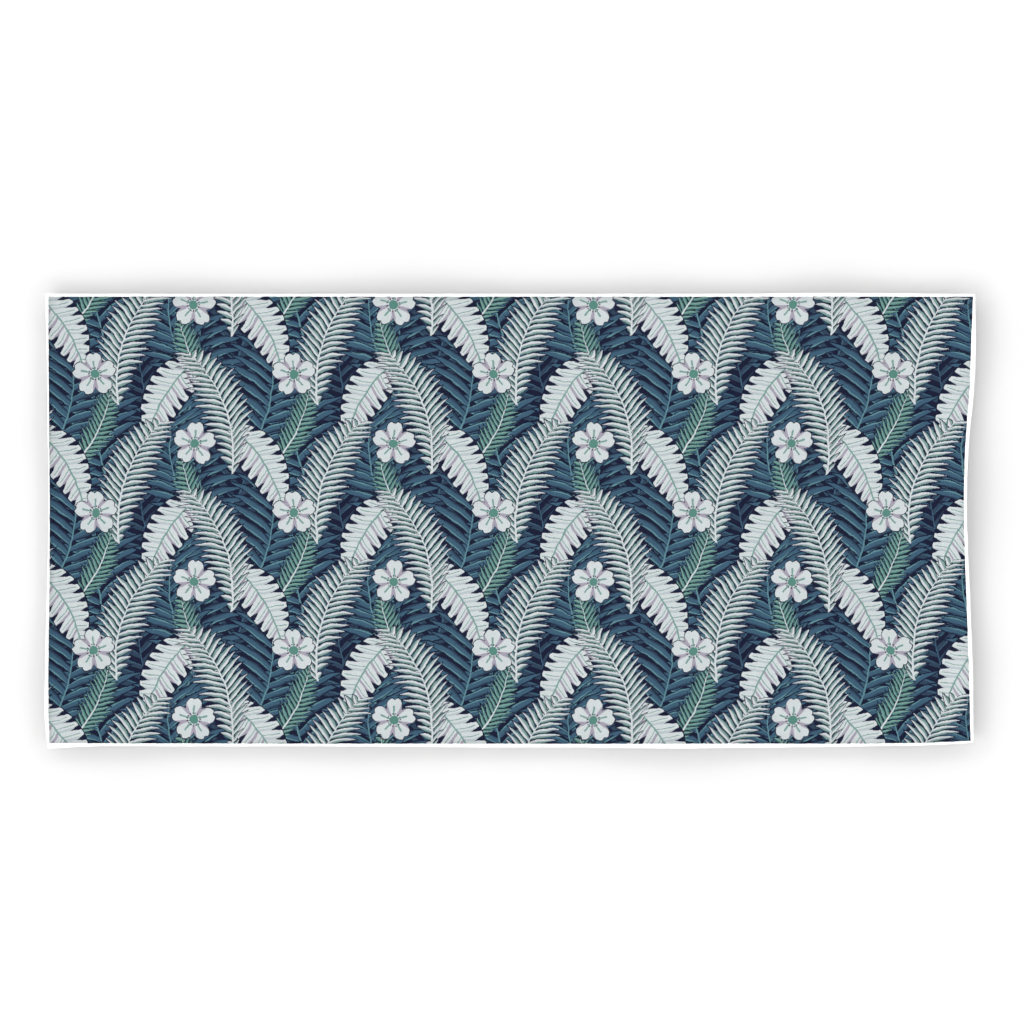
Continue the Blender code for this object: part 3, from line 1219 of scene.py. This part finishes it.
@dataclass
class TurnedHem:
    """The cloth's edge, turned over to the face all round and sewn down, and so a little puckered."""

    lay: Lay
    back: bpy.types.Material
    pitch: float = 3.2 * MM
    corner_pitch: float = 0.8 * MM
    corner_steps: int = 8
    thickness: float = 4.4 * MM
    fold_give: float = 0.4
    pucker_height: float = 0.35 * MM
    pucker_swing: float = 0.3 * MM
    calm_reach: float = 14 * MM

    def pucker(self, side: Side, along: Array, phase: float) -> Array:
        """A mixed wave along the hem, about -1 to 1, as the stitches and the hand leave it.

        Its waves are 10, 25 and 65 mm long, numbered in radians a metre, and fade out at the corners.

        Args:
            side: the edge of the towel.
            along: places along it, -1 to 1.
            phase: where the wave starts, in radians.

        Returns:
            The wave at each place.
        """
        run = along * side.extent / 2
        wave = np.sin(run * 620 + 1.3 * np.sin(run * 190 + phase) + phase)
        wave = wave + 0.8 * np.sin(run * 255 + 1.1 * np.sin(run * 83 + 2 * phase) + 2.3 * phase)
        wave = (wave + 0.7 * np.sin(run * 97 + 3.1 * phase)) / 2
        return wave * eased((1 - np.abs(along)) * side.extent / 2 / self.calm_reach)

    def stations(self, extent: float) -> Array:
        """Places along a side, closer together at its rounded corners.

        Args:
            extent: the side's length.

        Returns:
            The places, 0 to 1.
        """
        corner = np.arange(self.corner_steps) * self.corner_pitch / extent
        past = self.corner_steps * self.corner_pitch / extent
        middle = np.linspace(past, 1 - past, round(extent / self.pitch))
        return np.concatenate([corner, middle, 1 - corner[::-1]])

    def insets(self, side: Side, along: Array) -> Array:
        """How far inside the outline each point of the section is.

        Args:
            side: the edge of the towel.
            along: places along it, -1 to 1.

        Returns:
            The insets, with one row for each section point.
        """
        hem = EDGES[side].sewn(along)
        sewn = hem + self.pucker_swing * self.pucker(side, along, 1.0 + 0.7 * side.value)
        fold = 1 - self.fold_give + self.fold_give * hem / hem.max()
        return np.array([point.share * sewn + point.inset * MM * fold for point in HEM_SECTION])

    def strip(self, side: Side) -> tuple[Array, Array, Array]:
        """The flat places and heights of one side's section points, from mitre to mitre.

        Args:
            side: the edge of the towel.

        Returns:
            x, y and height, each with a row for each section point.
        """
        low_side, high_side = (Side.BOTTOM, Side.TOP) if side.upright else (Side.LEFT, Side.RIGHT)
        sign = 1 if side in (Side.RIGHT, Side.TOP) else -1
        corner = np.array([sign], float)
        low = self.insets(low_side, corner) - side.extent / 2
        high = side.extent / 2 - self.insets(high_side, corner)
        share = self.stations(side.extent)
        run = low + (high - low) * share
        along = 2 * share - 1
        across = TOWEL_LENGTH if side.upright else TOWEL_WIDTH
        off = sign * (across / 2 - self.insets(side, along))
        puckered = self.pucker_height / self.thickness * self.pucker(side, along, 5.0 + 0.9 * side.value)
        height = np.array([point.height * MM for point in HEM_SECTION])[:, None] * (1 + puckered)
        return (off, run, height) if side.upright else (run, off, height)

    def loop(self) -> tuple[Array, Array, Array]:
        """The section points all round the towel, counter-clockwise from above, with each corner once.

        Returns:
            x, y and height, each with a row for each section point.
        """
        strips = [self.strip(side) for side in (Side.BOTTOM, Side.RIGHT, Side.TOP, Side.LEFT)]
        ordered = []
        for turn, strip in enumerate(strips):
            x, y, height = (values if turn < 2 else values[:, ::-1] for values in strip)
            ordered.append((x[:, :-1], y[:, :-1], height[:, :-1]))
        x, y, height = (np.concatenate(values, axis=1) for values in zip(*ordered))
        return x, y, height

    def build(self) -> bpy.types.Object:
        """Builds the hem as one closed ring.

        Returns:
            The piece.
        """
        x, y, height = self.loop()
        section, count = x.shape
        points = self.lay.place(x, y, height).reshape(-1, 3)
        index = np.arange(section * count).reshape(section, count)
        ahead = np.roll(index, -1, axis=1)
        inward, inward_ahead = np.roll(index, -1, axis=0), np.roll(ahead, -1, axis=0)
        faces = np.stack([index, ahead, inward_ahead, inward], -1).reshape(-1, 4)
        flat = np.stack([x.ravel(), y.ravel()], -1)
        wears = np.zeros((section, count), np.int32)
        wears[-1] = 1
        materials = (PRESSED_TERRY.material(), self.back)
        return finished("turned_hem", points, faces, flat, materials, wears.ravel())


@dataclass
class HemStitching:
    """The row of lockstitch that holds the hem, near its inner edge, as it shows on one of the faces."""

    lay: Lay
    hem: TurnedHem
    name: str
    upward: bool
    stitch: float = 3.0 * MM
    gap: float = 0.5 * MM
    thread: float = 0.5 * MM
    proud: float = 0.05 * MM
    arch: float = 0.35 * MM
    arch_steps: int = 4
    thread_sides: int = 6
    least: tuple[float, float, float] = (0.93, 0.92, 0.92)
    most: tuple[float, float, float] = (1.05, 1.08, 1.15)
    seed: int = 7

    def sizes(self) -> dict[str, float]:
        """The sizes of a stitch, by the names of the node tree's inputs."""
        along = {"Stitch length": self.stitch, "Gap": self.gap}
        return {**along, "Thread radius": self.thread / 2, "Arch": self.arch}

    def seam_line(self) -> bpy.types.Object:
        """Lays a closed line along the hem's stitched dip, or under it on the back.

        Returns:
            The line.
        """
        x, y, height = (values[STITCH_POINT] for values in self.hem.loop())
        height = height + self.proud if self.upward else np.full_like(height, -self.proud)
        points = self.lay.place(x, y, height)
        count = len(points)
        mesh = bpy.data.meshes.new("hem_seam_line")
        mesh.from_pydata(points.tolist(), [(i, (i + 1) % count) for i in range(count)], [])
        return put_up("hem_seam_line", mesh)

    def tree(self) -> Tree:
        """Builds the node tree that sews one arched stitch after another along a line.

        Returns:
            The tree, with the stitch's sizes and its material as inputs.
        """
        inputs = {"Seam": "Geometry", **dict.fromkeys(self.sizes(), "Float"), "Thread": "Material"}
        tree = new_group("lockstitch_row", "GeometryNodeTree", inputs, {"Stitches": "Geometry"})
        given = add(tree, "NodeGroupInput").outputs
        spacing = add(tree, Sum.ADD, given["Stitch length"], given["Gap"])
        path = add(tree, "GeometryNodeMeshToCurve", {"Mesh": given["Seam"]})
        spaced = {"Curve": path, "Length": spacing}
        places = add(tree, "GeometryNodeCurveToPoints", spaced, mode="LENGTH")
        # One stitch: a short arch of thread, its ends sunk into the cloth
        half = add(tree, Sum.MULTIPLY, given["Stitch length"], 0.5)
        back = add(tree, Sum.MULTIPLY, half, -1.0)
        sunk = add(tree, Sum.MULTIPLY, given["Thread radius"], -1.0)
        start = add(tree, "ShaderNodeCombineXYZ", {0: back, 2: sunk})
        crown = add(tree, "ShaderNodeCombineXYZ", {2: given["Arch"]})
        end = add(tree, "ShaderNodeCombineXYZ", {0: half, 2: sunk})
        bend = {"Resolution": self.arch_steps, "Start": start, "Middle": crown, "End": end}
        arch = add(tree, "GeometryNodeCurveQuadraticBezier", bend)
        round_section = {"Resolution": self.thread_sides, "Radius": given["Thread radius"]}
        profile = add(tree, "GeometryNodeCurvePrimitiveCircle", round_section)
        swept = {"Curve": arch, "Profile Curve": profile, "Fill Caps": True}
        stitch = add(tree, "GeometryNodeCurveToMesh", swept)
        # Each one stands square to the towel, lies along the seam and is its own size
        square = {"Vector": (0.0, 0.0, 1.0 if self.upward else -1.0)}
        upright = add(tree, "FunctionNodeAlignRotationToVector", square, axis="Z")
        ahead = {"Rotation": upright, "Vector": places.outputs["Tangent"]}
        facing = add(tree, "FunctionNodeAlignRotationToVector", ahead, axis="X", pivot_axis="AUTO")
        row = {"Points": places, "Instance": stitch, "Rotation": facing}
        sewn = add(tree, "GeometryNodeInstanceOnPoints", row)
        spread = {"Min": self.least, "Max": self.most, "Seed": self.seed}
        uneven = add(tree, "FunctionNodeRandomValue", spread, data_type="FLOAT_VECTOR")
        scaled = add(tree, "GeometryNodeScaleInstances", {"Instances": sewn, "Scale": uneven})
        real = add(tree, "GeometryNodeRealizeInstances", scaled)
        dressed = add(tree, "GeometryNodeSetMaterial", {"Geometry": real, "Material": given["Thread"]})
        add(tree, "NodeGroupOutput", dressed)
        return tree

    def build(self, thread: bpy.types.Material) -> bpy.types.Object:
        """Builds the stitches and turns them into a plain mesh.

        Args:
            thread: the thread's material.

        Returns:
            The piece.
        """
        line = self.seam_line()
        tree = self.tree()
        sewing = line.modifiers.new("lockstitch_row", "NODES")
        sewing.node_group = tree
        values = {**self.sizes(), "Thread": thread}
        for item in tree.interface.items_tree:
            if item.name in values:
                sewing[item.identifier] = values[item.name]
        graph = bpy.context.evaluated_depsgraph_get()
        mesh = bpy.data.meshes.new_from_object(line.evaluated_get(graph), depsgraph=graph)
        mesh.name = self.name
        mesh.shade_smooth()
        bpy.data.objects.remove(line, do_unlink=True)
        return put_up(self.name, mesh)


# The studio


@dataclass(frozen=True)
class Lamp:
    """A broad, even lamp far off. hangs is its direction from the towel, and breadth is in degrees."""

    name: str
    hangs: tuple[float, float, float]
    breadth: float
    strength: float

    def build(self) -> None:
        """Hangs the lamp."""
        lamp = bpy.data.lights.new(self.name, "SUN")
        lamp.energy = self.strength
        lamp.angle = math.radians(self.breadth)
        hung = put_up(self.name, lamp)
        hung.rotation_euler = Vector(self.hangs).to_track_quat("Z", "Y").to_euler()


@dataclass
class Studio:
    """Pale paper in a white tent, lit from low down all round, with a lamp overhead and one near left.

    tent_low and tent_high are the sines of the heights between which the tent falls from bright to dim,
    and tent_lean is the share by which it is brighter than even at the left and dimmer at the right.
    """

    mm_per_pixel: float = 1.6435
    image_pixels: int = 1024
    towel_centre: tuple[float, float] = (510.18, 520.60)
    lens_mm: float = 200.0
    sensor_mm: float = 36.0
    floor_side: float = 14.0
    tent_bright: float = 7.05
    tent_dim: float = 0.44
    tent_low: float = 0.35
    tent_high: float = 0.5
    tent_lean: float = 0.17
    lamps: tuple[Lamp, ...] = (
        Lamp("overhead_lamp", (0.05, 0.1, 1.0), 40.0, 0.15),
        Lamp("near_left_lamp", (-0.6, -0.7, 0.5), 30.0, 0.7),
    )

    def build_floor(self) -> None:
        """Lays the backdrop paper under the towel."""
        half = self.floor_side / 2
        mesh = bpy.data.meshes.new("backdrop_paper")
        corners = [(-half, -half, 0.0), (half, -half, 0.0), (half, half, 0.0), (-half, half, 0.0)]
        mesh.from_pydata(corners, [], [(0, 1, 2, 3)])
        mesh.materials.append(BackdropPaper().material())
        put_up("backdrop_paper", mesh)

    def build_light(self) -> None:
        """Puts up the tent and hangs the lamps."""
        world = bpy.data.worlds.new("white_tent")
        world.use_nodes = True
        tree = world.node_tree
        tree.nodes.clear()
        towards = add(tree, "ShaderNodeTexCoord")
        parts = add(tree, "ShaderNodeSeparateXYZ", towards)
        fall = (parts.outputs["Z"], self.tent_low, self.tent_high, self.tent_bright, self.tent_dim)
        strength = add(tree, "ShaderNodeMapRange", *fall, interpolation_type="SMOOTHSTEP")
        lean = add(tree, Sum.MULTIPLY_ADD, parts.outputs["X"], -self.tent_lean, 1.0)
        strength = add(tree, Sum.MULTIPLY, strength, lean)
        light = add(tree, "ShaderNodeBackground", {"Color": (1.0, 1.0, 1.0, 1.0), "Strength": strength})
        add(tree, "ShaderNodeOutputWorld", light)
        bpy.context.scene.world = world
        for lamp in self.lamps:
            lamp.build()

    def build_camera(self) -> None:
        """Sets the camera straight above, with the towel where the photograph has it."""
        camera = bpy.data.cameras.new("overhead_camera")
        camera.lens = self.lens_mm
        camera.sensor_width = self.sensor_mm
        camera.clip_end = 100.0
        pixel = self.mm_per_pixel * MM
        middle = self.image_pixels / 2
        stand = put_up("overhead_camera", camera)
        stand.location = (
            (middle - self.towel_centre[0]) * pixel,
            (self.towel_centre[1] - middle) * pixel,
            self.image_pixels * pixel * self.lens_mm / self.sensor_mm,
        )
        bpy.context.scene.camera = stand

    def build(self) -> None:
        """Sets up the floor, light, camera and a plain view of the colours."""
        self.build_floor()
        self.build_light()
        self.build_camera()
        bpy.context.scene.view_settings.view_transform = "Standard"
        bpy.context.scene.view_settings.look = "None"


def report(piece: bpy.types.Object) -> bpy.types.Object:
    """Logs a finished piece's faces and size.

    Args:
        piece: the piece.

    Returns:
        The piece.
    """
    low, high = (Vector(map(pick, zip(*piece.bound_box))) for pick in (min, max))
    size = " x ".join(f"{side / MM:.1f}" for side in high - low)
    log.info("%s: %d faces, %s mm", piece.name, len(piece.data.polygons), size)
    return piece


def main() -> None:
    """Builds the towel's pieces in order, joins them to the body and sets up the studio."""
    logging.basicConfig(level=logging.INFO, format="%(message)s")
    lay = Lay()
    back = WhiteTerry("looped_terry_back").material()
    hem = TurnedHem(lay, back)
    cloth = report(PileCloth(lay, back).build())
    turned = report(hem.build())
    thread = SewingThread().material()
    top_row = report(HemStitching(lay, hem, "hem_stitching_face", upward=True).build(thread))
    under_row = report(HemStitching(lay, hem, "hem_stitching_back", upward=False).build(thread))
    for piece in (cloth, turned, top_row, under_row):
        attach(piece, BODY)
    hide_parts(CAD_NODE)
    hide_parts(CAD_NODE)
    Studio().build()


if __name__ == "__main__":
    main()
